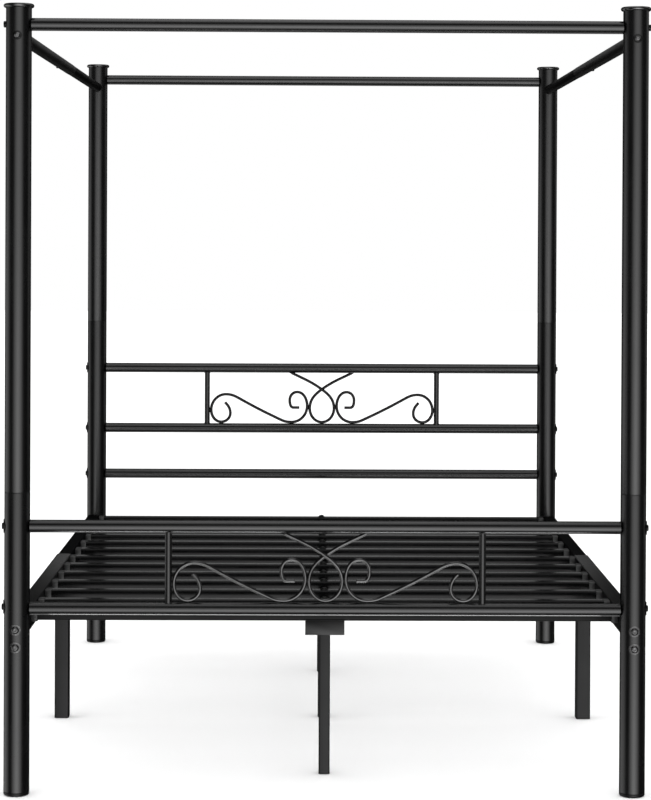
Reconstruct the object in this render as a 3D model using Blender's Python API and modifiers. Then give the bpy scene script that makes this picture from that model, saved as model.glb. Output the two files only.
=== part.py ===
"""Four poster canopy bed, full size: a bolted frame of black steel tube with a slatted base.

Metres, +Z up. The origin is on the floor under the middle of the bed, the foot end is at -Y
and the head end at +Y. Left is -X and right is +X, as seen from the foot end.
"""

import math

import bmesh
import bpy
from mathutils import Matrix, Vector

# Driving dimensions, in metres.
POST_X = 0.720  # post centres, either side of the middle
POST_Y = 0.9875  # post centres, towards the head and the foot
POST_RADIUS = 0.030
POST_WALL = 0.0015
POST_TOP = 1.835
FOOT_SEAM_Z = 0.707  # where a foot post's upper half starts
HEAD_SEAM_Z = 1.0265  # where a head post's upper half starts
SPIGOT_LENGTH = 0.060
CAP_RADIUS = 0.0355
CAP_HEIGHT = 0.010
PLUG_HEIGHT = 0.008
STEM_LENGTH = 0.022

RAIL_RADIUS = 0.015
RAIL_WALL = 0.0012
CANOPY_END_Z = 1.797
CANOPY_SIDE_Z = 1.771
CANOPY_SEAM_Y = 0.1555
CANOPY_SPIGOT = 0.050
HEAD_RAILS = {"top": 0.8773, "mid": 0.6851, "low": 0.5387}
FOOT_RAILS = {"top": 0.6272, "low": 0.4350}
PANEL_HEIGHT = 0.1922  # between the two rails that hold a scroll panel

UPRIGHT_X = 0.367
UPRIGHT_RADIUS = 0.00825
UPRIGHT_WALL = 0.001
WIRE_RADIUS = 0.004

SIDE_RAIL_X = 0.7265
SIDE_RAIL_TOP = 0.409
SIDE_RAIL_WIDTH = 0.040
SIDE_RAIL_HEIGHT = 0.051
SIDE_RAIL_WALL = 0.0012
SIDE_RAIL_SPLICE_Y = 0.0895
SPLICE_OVERLAP = 0.080
SADDLE_BOTTOM = 0.328
SADDLE_DEPTH = 0.036  # from the post's centre to the back of the saddle

SLAT_DEPTH = 0.036
SLAT_HEIGHT = 0.0255
SLAT_TOP = 0.407
SLAT_WALL = 0.001
SLAT_PITCH = 0.148
SLAT_COUNT = 13
LAST_SLAT_FACE = 0.9205  # foot-side face of the slat nearest the head

BEAM_WIDTH = 0.031
BEAM_HEIGHT = 0.030
BEAM_WALL = 0.0015
BEAM_PLATE_WIDTH = 0.091
BEAM_PLATE_HEIGHT = 0.032
BEAM_PLATE_DEPTH = 0.004

SIDE_LEG_X = 0.705
SIDE_LEG_WIDTH = 0.038
SIDE_LEG_FACE = -0.1615  # foot-side face
CENTRE_LEG_WIDTH = 0.027
CENTRE_LEG_FACES = (-0.7885, -0.1435, 0.4965)
LEG_WALL = 0.0015
LEG_FLANGE = 0.003
LEG_FLANGE_LIP = 0.006

GAP = 0.0003  # clearance between pieces that touch
CORNER_ROUND = 0.003  # on square tubes
BRIM_ROUND = 0.004  # on caps and plugs
ARC_HANDLE = 0.39  # of the chord, which draws a quarter circle
POST_SIDES = 24
RAIL_SIDES = 16
UPRIGHT_SIDES = 12
CURVE_STEPS = 4

SLAT_BOTTOM = SLAT_TOP - SLAT_HEIGHT
BEAM_TOP = SLAT_BOTTOM - GAP
SIDE_RAIL_Z = SIDE_RAIL_TOP - SIDE_RAIL_HEIGHT / 2
SIDE_RAIL_BOTTOM = SIDE_RAIL_TOP - SIDE_RAIL_HEIGHT
FIRST_SLAT_FACE = -POST_Y + SLAT_PITCH

# One scroll as (along, above the lower rail's centre, heading in degrees), from its outer hook inwards.
SCROLL = (
    (-0.3103, 0.0822, -45),
    (-0.2930, 0.0470, -90),
    (-0.3221, 0.0195, 180),
    (-0.3543, 0.0580, 90),
    (-0.3068, 0.1078, 0),
    (-0.2600, 0.0922, -29),
    (-0.1300, 0.0262, -25),
    (-0.0967, 0.0195, 0),
    (-0.0472, 0.0710, 90),
    (-0.0795, 0.1157, 180),
    (-0.1030, 0.0900, -90),
    (-0.0825, 0.0620, 0),
    (-0.0719, 0.0650, 25),
)
# The ribbon as (along, towards the head, above the lower rail's centre, heading in degrees).
RIBBON_STEP = 0.0045  # how far each strand steps aside where they cross
RIBBON = (
    (-0.0885, -RIBBON_STEP, 0.1730, -24),
    (0.0, -RIBBON_STEP, 0.1245, -36),
    (0.0388, 0.0, 0.0637, -90),
    (0.0, 0.0, 0.0195, 180),
    (-0.0388, 0.0, 0.0637, 90),
    (0.0, RIBBON_STEP, 0.1245, 36),
    (0.0885, RIBBON_STEP, 0.1730, 24),
)

# Finishes: colour, roughness, metallic.
POWDER_COAT = ((0.012, 0.012, 0.013, 1), 0.38, 0.0)
SATIN_PLASTIC = ((0.010, 0.010, 0.010, 1), 0.50, 0.0)

SIDES = (("left", -1), ("right", 1))
ENDS = (("foot", -1), ("head", 1))


def clear_scene():
    for obj in list(bpy.data.objects):
        bpy.data.objects.remove(obj)
    for collection in list(bpy.data.collections):
        bpy.data.collections.remove(collection)


def new_collection(name):
    collection = bpy.data.collections.new(name)
    bpy.context.scene.collection.children.link(collection)
    return collection


def finish(obj, look):
    """Gives the object a material of its own."""
    colour, roughness, metallic = look
    material = bpy.data.materials.new(obj.name + "_finish")
    material.use_nodes = True
    shader = material.node_tree.nodes["Principled BSDF"]
    shader.inputs["Base Color"].default_value = colour
    shader.inputs["Roughness"].default_value = roughness
    shader.inputs["Metallic"].default_value = metallic
    obj.data.materials.clear()
    obj.data.materials.append(material)


def place(name, data, parent, location=(0, 0, 0), look=POWDER_COAT):
    """Puts a part in the bed's collection, under the empty of its sub-assembly."""
    obj = bpy.data.objects.new(name, data)
    bed.objects.link(obj)
    obj.parent = parent
    obj.location = location
    finish(obj, look)
    return obj


def empty(name, location=(0, 0, 0), parent=None):
    obj = bpy.data.objects.new(name, None)
    bed.objects.link(obj)
    obj.location = location
    obj.parent = parent
    return obj


def smooth(mesh):
    mesh.shade_smooth()
    mesh.set_sharp_from_angle(angle=math.radians(35))


def cylinder_mesh(name, radius, depth, axis="Z", sides=POST_SIDES, capped=True):
    lean = Matrix.Rotation(math.pi / 2, 4, "Y") if axis == "X" else Matrix.Identity(4)
    bm = bmesh.new()
    bmesh.ops.create_cone(
        bm,
        cap_ends=capped,
        segments=sides,
        radius1=radius,
        radius2=radius,
        depth=depth,
        matrix=lean,
    )
    mesh = bpy.data.meshes.new(name)
    bm.to_mesh(mesh)
    bm.free()
    smooth(mesh)
    return mesh


def box_mesh(name, size, open_along=None, rounding=0.0):
    """A box about its own middle. open_along leaves out the faces across that axis."""
    bm = bmesh.new()
    bmesh.ops.create_cube(bm, size=1, matrix=Matrix.Diagonal((*size, 1)))
    if open_along:
        axis = Vector([letter == open_along for letter in "XYZ"])
        if rounding:
            long_edges = [
                edge
                for edge in bm.edges
                if abs((edge.verts[0].co - edge.verts[1].co).normalized().dot(axis)) > 0.9
            ]
            bmesh.ops.bevel(
                bm, geom=long_edges, offset=rounding, segments=2, profile=0.5, affect="EDGES"
            )
        bm.normal_update()
        ends = [face for face in bm.faces if abs(face.normal.dot(axis)) > 0.9]
        bmesh.ops.delete(bm, geom=ends, context="FACES_ONLY")
    mesh = bpy.data.meshes.new(name)
    bm.to_mesh(mesh)
    bm.free()
    smooth(mesh)
    return mesh


def cutter(name, mesh, location):
    obj = bpy.data.objects.new(name, mesh)
    cutters.objects.link(obj)
    obj.location = location
    obj.hide_render = True
    obj.display_type = "WIRE"
    return obj


def add_wall(obj, thickness):
    """Turns an open surface into a tube wall that grows inwards."""
    solidify = obj.modifiers.new("Wall", "SOLIDIFY")
    solidify.thickness = thickness
    solidify.offset = -1
    solidify.use_even_offset = True


def combine(obj, other, operation):
    boolean = obj.modifiers.new(operation.title() + "_" + other.name, "BOOLEAN")
    boolean.operation = operation
    boolean.object = other
    boolean.solver = "EXACT"


def turned_mesh(name, profile, closed):
    """The half outline of a turned part, as (radius, height), down its outer side first."""
    last = len(profile) - 1
    edges = [(i, i + 1) for i in range(last)] + ([(last, 0)] if closed else [])
    mesh = bpy.data.meshes.new(name)
    mesh.from_pydata([(radius, 0, height) for radius, height in profile], edges, [])
    return mesh


def turn(obj, axis="Z", steps=POST_SIDES):
    screw = obj.modifiers.new("Turn", "SCREW")
    screw.axis = axis
    screw.steps = steps
    screw.render_steps = steps
    screw.use_merge_vertices = True
    screw.merge_threshold = 0.00005
    screw.use_smooth_shade = True


def edge_round(radius, height, size, rises):
    """Three points of a rounded outer edge, from the top down."""
    angles = (90, 45, 0) if rises else (0, -45, -90)
    middle = height - size if rises else height + size
    return [
        (
            radius - size + size * math.cos(math.radians(angle)),
            middle + size * math.sin(math.radians(angle)),
        )
        for angle in angles
    ]


def build_posts():
    """Four posts, each of two halves, a cap on top and a plug underneath."""
    spigot_outer = POST_RADIUS - POST_WALL - GAP
    spigot_inner = spigot_outer - POST_WALL
    tube_inner = POST_RADIUS - POST_WALL
    cap_profile = [(0, CAP_HEIGHT)]
    cap_profile += edge_round(CAP_RADIUS, CAP_HEIGHT, BRIM_ROUND, rises=True)
    cap_profile += [
        (CAP_RADIUS, GAP),
        (spigot_outer, GAP),
        (spigot_outer - 0.001, -STEM_LENGTH),
        (0, -STEM_LENGTH),
    ]
    plug_profile = [
        (0, PLUG_HEIGHT + STEM_LENGTH),
        (spigot_outer - 0.001, PLUG_HEIGHT + STEM_LENGTH),
        (spigot_outer, PLUG_HEIGHT - GAP),
        (POST_RADIUS, PLUG_HEIGHT - GAP),
    ]
    plug_profile += edge_round(POST_RADIUS, 0, BRIM_ROUND, rises=False) + [(0, 0)]
    posts = empty("posts", parent=root)
    for end, y_sign in ENDS:
        seam = FOOT_SEAM_Z if end == "foot" else HEAD_SEAM_Z
        lower_profile = [
            (POST_RADIUS, seam),
            (POST_RADIUS, PLUG_HEIGHT),
            (tube_inner, PLUG_HEIGHT),
            (tube_inner, seam),
        ]
        upper_profile = [
            (POST_RADIUS, POST_TOP),
            (POST_RADIUS, seam + GAP),
            (spigot_outer, seam + GAP),
            (spigot_outer, seam - SPIGOT_LENGTH),
            (spigot_inner, seam - SPIGOT_LENGTH),
            (spigot_inner, seam + GAP),
            (tube_inner, seam + 2 * POST_WALL),
            (tube_inner, POST_TOP),
        ]
        for side, x_sign in SIDES:
            corner = f"{end}_{side}"
            stand = empty("post_" + corner, (x_sign * POST_X, y_sign * POST_Y, 0), posts)
            turn(place("post_lower_" + corner, turned_mesh("post_lower", lower_profile, True), stand))
            turn(place("post_upper_" + corner, turned_mesh("post_upper", upper_profile, True), stand))
            cap = turned_mesh("post_cap", cap_profile, False)
            turn(place("post_cap_" + corner, cap, stand, (0, 0, POST_TOP), SATIN_PLASTIC))
            plug = turned_mesh("foot_plug", plug_profile, False)
            turn(place("foot_plug_" + corner, plug, stand, look=SATIN_PLASTIC))
            cutter(
                "post_room_" + corner,
                cylinder_mesh("post_room", POST_RADIUS + GAP, 2 * POST_TOP),
                (x_sign * POST_X, y_sign * POST_Y, POST_TOP),
            )


def cope_to_posts(obj, *corners):
    """Shapes the tube's ends to the round of the posts that it meets."""
    for corner in corners:
        combine(obj, bpy.data.objects["post_room_" + corner], "DIFFERENCE")


def build_end_rail(name, parent, end, height):
    """A round rail across the bed, between the two posts of one end."""
    mesh = cylinder_mesh(name, RAIL_RADIUS, 2 * POST_X, "X", RAIL_SIDES, capped=False)
    rail = place(name, mesh, parent, (0, 0, height))
    add_wall(rail, RAIL_WALL)
    cope_to_posts(rail, end + "_left", end + "_right")


def bezier(name, points):
    """A wire through points of (place, heading in degrees), turning smoothly at each of them."""
    curve = bpy.data.curves.new(name, "CURVE")
    curve.dimensions = "3D"
    curve.resolution_u = CURVE_STEPS
    curve.bevel_depth = WIRE_RADIUS
    curve.bevel_resolution = 2
    curve.use_fill_caps = True
    spline = curve.splines.new("BEZIER")
    spline.bezier_points.add(len(points) - 1)
    for i, (spot, heading) in enumerate(points):
        point = spline.bezier_points[i]
        along = Vector((math.cos(math.radians(heading)), 0, math.sin(math.radians(heading))))
        before = (spot - points[max(i - 1, 0)][0]).length
        after = (spot - points[min(i + 1, len(points) - 1)][0]).length
        point.handle_left_type = point.handle_right_type = "FREE"
        point.co = spot
        point.handle_left = spot - along * ARC_HANDLE * before
        point.handle_right = spot + along * ARC_HANDLE * after
    return curve


def build_panel(prefix, parent, low_rail):
    """Two uprights, two mirrored scrolls and a ribbon, between a panel's two rails."""
    panel = empty(prefix + "_panel", (0, 0, low_rail), parent)
    y = parent.location.y
    rail_rooms = [
        cutter(
            f"{prefix}_rail_room_{level}",
            cylinder_mesh("rail_room", RAIL_RADIUS + GAP, 2 * POST_X, "X", POST_SIDES),
            (0, y, low_rail + height),
        )
        for level, height in (("low", 0), ("top", PANEL_HEIGHT))
    ]
    for side, x_sign in SIDES:
        mesh = cylinder_mesh("upright", UPRIGHT_RADIUS, PANEL_HEIGHT, "Z", UPRIGHT_SIDES, capped=False)
        place_at = (x_sign * UPRIGHT_X, 0, PANEL_HEIGHT / 2)
        upright = place(f"{prefix}_upright_{side}", mesh, panel, place_at)
        add_wall(upright, UPRIGHT_WALL)
        for room in rail_rooms:
            combine(upright, room, "DIFFERENCE")
        points = [
            (Vector((-x_sign * along, 0, above)), heading if x_sign < 0 else 180 - heading)
            for along, above, heading in SCROLL
        ]
        place(f"{prefix}_scroll_{side}", bezier("scroll", points), panel)
    points = [(Vector((along, aside, above)), heading) for along, aside, above, heading in RIBBON]
    place(prefix + "_ribbon", bezier("ribbon", points), panel)


def build_headboard():
    headboard = empty("headboard", (0, POST_Y, 0), root)
    for level, height in HEAD_RAILS.items():
        build_end_rail(f"headboard_{level}_rail", headboard, "head", height)
    build_panel("headboard", headboard, HEAD_RAILS["mid"])


def build_footboard():
    footboard = empty("footboard", (0, -POST_Y, 0), root)
    for level, height in FOOT_RAILS.items():
        build_end_rail(f"footboard_{level}_rail", footboard, "foot", height)
    build_panel("footboard", footboard, FOOT_RAILS["low"])


def build_canopy():
    """A rail at each end, and on each side a rail of two halves that plug together."""
    canopy = empty("canopy", parent=root)
    for end, y_sign in ENDS:
        stand = empty("canopy_" + end, (0, y_sign * POST_Y, 0), canopy)
        build_end_rail("canopy_rail_" + end, stand, end, CANOPY_END_Z)
    bore = RAIL_RADIUS - RAIL_WALL
    spigot = bore - GAP
    foot_half = [
        (RAIL_RADIUS, CANOPY_SEAM_Y),
        (RAIL_RADIUS, -POST_Y),
        (bore, -POST_Y),
        (bore, CANOPY_SEAM_Y),
    ]
    head_half = [
        (RAIL_RADIUS, POST_Y),
        (RAIL_RADIUS, CANOPY_SEAM_Y + GAP),
        (spigot, CANOPY_SEAM_Y + GAP),
        (spigot, CANOPY_SEAM_Y - CANOPY_SPIGOT),
        (spigot - RAIL_WALL, CANOPY_SEAM_Y - CANOPY_SPIGOT),
        (spigot - RAIL_WALL, CANOPY_SEAM_Y + GAP),
        (bore, CANOPY_SEAM_Y + 2 * RAIL_WALL),
        (bore, POST_Y),
    ]
    for side, x_sign in SIDES:
        for end, profile in (("foot", foot_half), ("head", head_half)):
            mesh = turned_mesh("canopy_half", profile, True)
            location = (x_sign * POST_X, 0, CANOPY_SIDE_Z)
            half = place(f"canopy_side_{end}_{side}", mesh, canopy, location)
            # The profile stands up, and this lays it down along the bed with the head end at +Y.
            half.rotation_euler = (-math.pi / 2, 0, 0)
            turn(half, steps=RAIL_SIDES)
            cope_to_posts(half, f"{end}_{side}")


def build_side_rails(base):
    """On each side a foot half with an open end, and a head half that slides into it."""
    shrink = 2 * (SIDE_RAIL_WALL + GAP)
    for side, x_sign in SIDES:
        for end, y_sign in ENDS:
            name = f"side_rail_{end}_{side}"
            trim = 0 if end == "foot" else shrink
            inner_end = SIDE_RAIL_SPLICE_Y - (0 if end == "foot" else SPLICE_OVERLAP)
            length = abs(y_sign * POST_Y - inner_end)
            middle = (y_sign * POST_Y + inner_end) / 2
            size = (SIDE_RAIL_WIDTH - trim, length, SIDE_RAIL_HEIGHT - trim)
            mesh = box_mesh(name, size, open_along="Y", rounding=CORNER_ROUND - trim / 2)
            rail = place(name, mesh, base, (x_sign * SIDE_RAIL_X, middle, SIDE_RAIL_Z))
            add_wall(rail, SIDE_RAIL_WALL)
            saddle_top = SIDE_RAIL_TOP - trim / 2 - GAP
            saddle_height = saddle_top - SADDLE_BOTTOM
            saddle = cutter(
                "saddle_" + name,
                box_mesh("saddle", (size[0] - GAP, SADDLE_DEPTH, saddle_height)),
                (
                    x_sign * SIDE_RAIL_X,
                    y_sign * (POST_Y - SADDLE_DEPTH / 2),
                    saddle_top - saddle_height / 2,
                ),
            )
            combine(rail, saddle, "UNION")
            cope_to_posts(rail, f"{end}_{side}")


def build_centre_beam(base):
    """A channel under the slats, open below, with a wide plate across each end."""
    foot_end = FIRST_SLAT_FACE
    head_end = LAST_SLAT_FACE + SLAT_DEPTH
    channel = box_mesh("centre_beam", (BEAM_WIDTH, head_end - foot_end, BEAM_HEIGHT), open_along="Y")
    bm = bmesh.new()
    bm.from_mesh(channel)
    below = [face for face in bm.faces if face.normal.z < -0.9]
    bmesh.ops.delete(bm, geom=below, context="FACES_ONLY")
    bm.to_mesh(channel)
    bm.free()
    middle = (foot_end + head_end) / 2
    beam = place("centre_beam", channel, base, (0, middle, BEAM_TOP - BEAM_HEIGHT / 2))
    add_wall(beam, BEAM_WALL)
    for end, y in (("foot", foot_end + BEAM_PLATE_DEPTH / 2), ("head", head_end - BEAM_PLATE_DEPTH / 2)):
        plate = cutter(
            "beam_plate_" + end,
            box_mesh("beam_plate", (BEAM_PLATE_WIDTH, BEAM_PLATE_DEPTH, BEAM_PLATE_HEIGHT)),
            (0, y, BEAM_TOP - GAP - BEAM_PLATE_HEIGHT / 2),
        )
        combine(beam, plate, "UNION")


def build_legs(base):
    """Side legs with a flange that bolts under the side rails, and legs that plug into the beam."""
    side_height = SIDE_RAIL_BOTTOM - GAP
    for side, x_sign in SIDES:
        size = (SIDE_LEG_WIDTH, SIDE_LEG_WIDTH, side_height)
        mesh = box_mesh("side_leg", size, open_along="Z", rounding=CORNER_ROUND)
        location = (x_sign * SIDE_LEG_X, SIDE_LEG_FACE + SIDE_LEG_WIDTH / 2, side_height / 2)
        leg = place("side_leg_" + side, mesh, base, location)
        add_wall(leg, LEG_WALL)
        outer = SIDE_RAIL_X + SIDE_RAIL_WIDTH / 2
        inner = SIDE_LEG_X - SIDE_LEG_WIDTH / 2
        flange = cutter(
            "leg_flange_" + side,
            box_mesh("leg_flange", (outer - inner, SIDE_LEG_WIDTH + 2 * LEG_FLANGE_LIP, LEG_FLANGE)),
            (
                x_sign * (outer + inner) / 2,
                SIDE_LEG_FACE + SIDE_LEG_WIDTH / 2,
                side_height - LEG_FLANGE / 2,
            ),
        )
        combine(leg, flange, "UNION")
    centre_height = BEAM_TOP - BEAM_WALL - GAP
    for number, face in enumerate(CENTRE_LEG_FACES, start=1):
        size = (CENTRE_LEG_WIDTH, CENTRE_LEG_WIDTH, centre_height)
        mesh = box_mesh("centre_leg", size, open_along="Z", rounding=CORNER_ROUND)
        location = (0, face + CENTRE_LEG_WIDTH / 2, centre_height / 2)
        add_wall(place(f"centre_leg_{number}", mesh, base, location), LEG_WALL)


def build_slats(base):
    """Flat tubes between the side rails, evenly spaced but for the one next to the head posts."""
    length = 2 * (SIDE_RAIL_X - SIDE_RAIL_WIDTH / 2 - GAP)
    faces = [FIRST_SLAT_FACE + SLAT_PITCH * i for i in range(SLAT_COUNT - 1)] + [LAST_SLAT_FACE]
    for number, face in enumerate(faces, start=1):
        size = (length, SLAT_DEPTH, SLAT_HEIGHT)
        mesh = box_mesh("slat", size, open_along="X", rounding=CORNER_ROUND)
        location = (0, face + SLAT_DEPTH / 2, SLAT_TOP - SLAT_HEIGHT / 2)
        add_wall(place(f"slat_{number:02d}", mesh, base, location), SLAT_WALL)


clear_scene()
bed = new_collection("four_poster_canopy_bed")
cutters = new_collection("cutters")
root = empty("bed_root")
build_posts()
build_canopy()
build_headboard()
build_footboard()
base = empty("bed_base", parent=root)
build_side_rails(base)
build_centre_beam(base)
build_legs(base)
build_slats(base)
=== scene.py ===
import math

import bmesh
import bpy
from mathutils import Matrix, Vector, noise


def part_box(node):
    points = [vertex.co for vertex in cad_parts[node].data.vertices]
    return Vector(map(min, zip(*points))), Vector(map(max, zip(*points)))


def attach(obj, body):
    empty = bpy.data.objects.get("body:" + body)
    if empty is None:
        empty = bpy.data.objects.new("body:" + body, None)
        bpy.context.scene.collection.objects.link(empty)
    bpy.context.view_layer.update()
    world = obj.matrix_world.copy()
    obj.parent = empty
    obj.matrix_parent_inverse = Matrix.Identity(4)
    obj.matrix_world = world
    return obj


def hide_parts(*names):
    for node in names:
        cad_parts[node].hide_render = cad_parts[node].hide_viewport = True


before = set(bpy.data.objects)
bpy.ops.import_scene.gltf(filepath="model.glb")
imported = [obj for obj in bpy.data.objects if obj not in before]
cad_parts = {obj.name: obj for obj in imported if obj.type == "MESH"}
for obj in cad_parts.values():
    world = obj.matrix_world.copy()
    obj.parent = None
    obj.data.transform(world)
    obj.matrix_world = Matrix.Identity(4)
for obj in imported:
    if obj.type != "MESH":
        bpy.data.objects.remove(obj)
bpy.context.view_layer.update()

# Sizes in metres, in the frame's own axes: the foot end is at -Y, left is -X.
POST_X = 0.720
POST_Y = 0.9875
POST_RADIUS = 0.030
POST_WALL = 0.0015
POST_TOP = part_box("post_upper_foot_left")[1].z
PLUG_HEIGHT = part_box("post_lower_foot_left")[0].z
CAP_RADIUS = 0.0355

RAIL_RADIUS = 0.015
RAIL_WALL = 0.0012
CANOPY_SIDE_Z = 0.5 * sum(corner.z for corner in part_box("canopy_side_foot_left"))
CANOPY_SEAM_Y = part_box("canopy_side_foot_left")[1].y

UPRIGHT_X = 0.367
UPRIGHT_RADIUS = 0.00825
WIRE_RADIUS = 0.0045

SLAT_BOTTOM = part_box("slat_01")[0].z
TUBE_ROUND = 0.0035  # corners of the square tubes

FIT = 0.0002  # left free where one piece meets another
SAME_POINT = 0.000002

# One scroll as (along, above the lower rail's centre, heading in degrees), from its outer hook
# inwards.
SCROLL = (
    (-0.3103, 0.0822, -45),
    (-0.2930, 0.0470, -90),
    (-0.3221, 0.0195, 180),
    (-0.3543, 0.0580, 90),
    (-0.3068, 0.1078, 0),
    (-0.2600, 0.0922, -29),
    (-0.1300, 0.0262, -25),
    (-0.0967, 0.0195, 0),
    (-0.0472, 0.0710, 90),
    (-0.0795, 0.1157, 180),
    (-0.1030, 0.0900, -90),
    (-0.0907, 0.0660, 0),
    (-0.0719, 0.0660, 0),
)
# The ribbon as (along, towards the head, above the lower rail's centre, heading in degrees).
RIBBON_STEP = 0.0045
RIBBON = (
    (-0.0975, -RIBBON_STEP, 0.1775, -26),
    (0.0, -RIBBON_STEP, 0.1245, -36),
    (0.0388, 0.0, 0.0637, -90),
    (0.0, 0.0, 0.0195, 180),
    (-0.0388, 0.0, 0.0637, 90),
    (0.0, RIBBON_STEP, 0.1245, 36),
    (0.0975, RIBBON_STEP, 0.1775, 26),
)
# Where each scroll is welded: (from the middle, above the lower rail's centre, the bead's half sizes).
SCROLL_WELDS = (
    (0.3585, 0.0580, (0.0012, 0.0028, 0.0075)),  # on the upright
    (0.3221, 0.0152, (0.0065, 0.0028, 0.0014)),  # on the lower rail, outside
    (0.0967, 0.0152, (0.0065, 0.0028, 0.0014)),  # on the lower rail, inside
    (0.0430, 0.0672, (0.0013, 0.0028, 0.0065)),  # on the ribbon
)
# Where the ribbon is welded to the lower rail and to itself, in the same way.
RIBBON_WELDS = (
    (0.0152, (0.0065, 0.0028, 0.0014)),
    (0.1245, (0.0030, 0.0012, 0.0026)),
)
ARC_HANDLE = 0.39  # of the chord, which draws a quarter circle
WIRE_STEPS = 22  # between two of the points above

SIDES = (("left", -1), ("right", 1))
ENDS = (("foot", -1), ("head", 1))
TURN_SIDES = 96
RAIL_SIDES = 64

# ---------------------------------------------------------------- materials


class Finish:
    """A Principled material with colour, roughness and grain from noise in the object's own space."""

    def __init__(self, name):
        self.material = bpy.data.materials.new(name)
        self.material.use_nodes = True
        self.tree = self.material.node_tree
        self.shader = self.tree.nodes["Principled BSDF"]
        self.place = self.tree.nodes.new("ShaderNodeTexCoord").outputs["Object"]

    def noise(self, size, detail=2.0):
        """Noise whose features are about this size in metres."""
        node = self.tree.nodes.new("ShaderNodeTexNoise")
        node.inputs["Scale"].default_value = 1 / size
        node.inputs["Detail"].default_value = detail
        self.tree.links.new(self.place, node.inputs["Vector"])
        return node.outputs["Fac"]

    def spread(self, source, low, high, start=0.3, end=0.7):
        """Maps a value from start..end to low..high."""
        node = self.tree.nodes.new("ShaderNodeMapRange")
        for socket, value in (("From Min", start), ("From Max", end), ("To Min", low), ("To Max", high)):
            node.inputs[socket].default_value = value
        self.tree.links.new(source, node.inputs["Value"])
        return node.outputs["Result"]

    def colour(self, source, dark, light):
        node = self.tree.nodes.new("ShaderNodeMix")
        node.data_type = "RGBA"
        node.inputs["A"].default_value = (*dark, 1)
        node.inputs["B"].default_value = (*light, 1)
        self.tree.links.new(source, node.inputs["Factor"])
        self.tree.links.new(node.outputs["Result"], self.shader.inputs["Base Color"])

    def roughness(self, source):
        self.tree.links.new(source, self.shader.inputs["Roughness"])

    def bump(self, *layers):
        """Each layer is (height source, height in metres)."""
        normal = None
        for source, height in layers:
            node = self.tree.nodes.new("ShaderNodeBump")
            node.inputs["Distance"].default_value = height
            self.tree.links.new(source, node.inputs["Height"])
            if normal:
                self.tree.links.new(normal, node.inputs["Normal"])
            normal = node.outputs["Normal"]
        self.tree.links.new(normal, self.shader.inputs["Normal"])


POWDER_DARK = (0.0013, 0.0013, 0.0014)
POWDER_PALE = (0.0021, 0.0021, 0.0022)
PEEL_HEIGHT = 0.000035
FLAT_PEEL_HEIGHT = 0.000012


def powder_coat(name, roughness, level, peel_height=PEEL_HEIGHT):
    """Black powder coat: an orange-peel skin, with a film that varies a little along each tube."""
    finish = Finish(name)
    film = finish.noise(0.09)
    peel = finish.noise(0.0028, 1.0)
    grain = finish.noise(0.0007)
    finish.colour(finish.spread(film, 0, 1), POWDER_DARK, POWDER_PALE)
    finish.roughness(finish.spread(film, roughness - 0.02, roughness + 0.03))
    finish.shader.inputs["Specular IOR Level"].default_value = level
    finish.bump((peel, peel_height), (grain, peel_height / 3))
    return finish.material


def side_rail_coat(end, dull, bright, level):
    """The powder coat of a side rail's half. dull is its roughness by the post, bright at the joint."""
    finish = Finish(f"powder_coat_side_{end}")
    film = finish.noise(0.09)
    peel = finish.noise(0.0028, 1.0)
    finish.colour(finish.spread(film, 0, 1), POWDER_DARK, POWDER_PALE)
    split = finish.tree.nodes.new("ShaderNodeSeparateXYZ")
    finish.tree.links.new(finish.place, split.inputs["Vector"])
    post_y, joint_y = -0.95, 0.05
    finish.roughness(finish.spread(split.outputs["Y"], dull, bright, post_y, joint_y))
    finish.shader.inputs["Specular IOR Level"].default_value = level
    finish.bump((peel, PEEL_HEIGHT))
    return finish.material


def moulded_plastic(name, smooth, rough, level):
    """Black plastic with a fine moulded grain."""
    finish = Finish(name)
    cloud = finish.noise(0.03)
    grain = finish.noise(0.0009)
    finish.colour(finish.spread(cloud, 0, 1), (0.0020, 0.0020, 0.0020), (0.0034, 0.0034, 0.0034))
    finish.roughness(finish.spread(grain, smooth, rough))
    finish.shader.inputs["Specular IOR Level"].default_value = level
    finish.bump((grain, 0.00003))
    return finish.material


def slat_plastic():
    """The softer, greyer plastic of the slat ends."""
    finish = Finish("slat_end_plastic")
    cloud = finish.noise(0.02)
    grain = finish.noise(0.0011)
    finish.colour(finish.spread(cloud, 0, 1), (0.017, 0.017, 0.017), (0.026, 0.026, 0.026))
    finish.roughness(finish.spread(grain, 0.42, 0.55))
    finish.bump((grain, 0.00005))
    return finish.material


def blackened_steel(name, dark, worn):
    """Bolts and washers: steel with a black oxide skin, worn a little brighter in places."""
    finish = Finish(name)
    wear = finish.noise(0.004, 4.0)
    grain = finish.noise(0.0006)
    finish.colour(finish.spread(wear, 0, 1, 0.45, 0.75), (dark, dark, dark), (worn, worn, worn))
    finish.roughness(finish.spread(wear, 0.16, 0.28))
    finish.shader.inputs["Metallic"].default_value = 0.9
    finish.bump((grain, 0.00002))
    return finish.material


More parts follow.
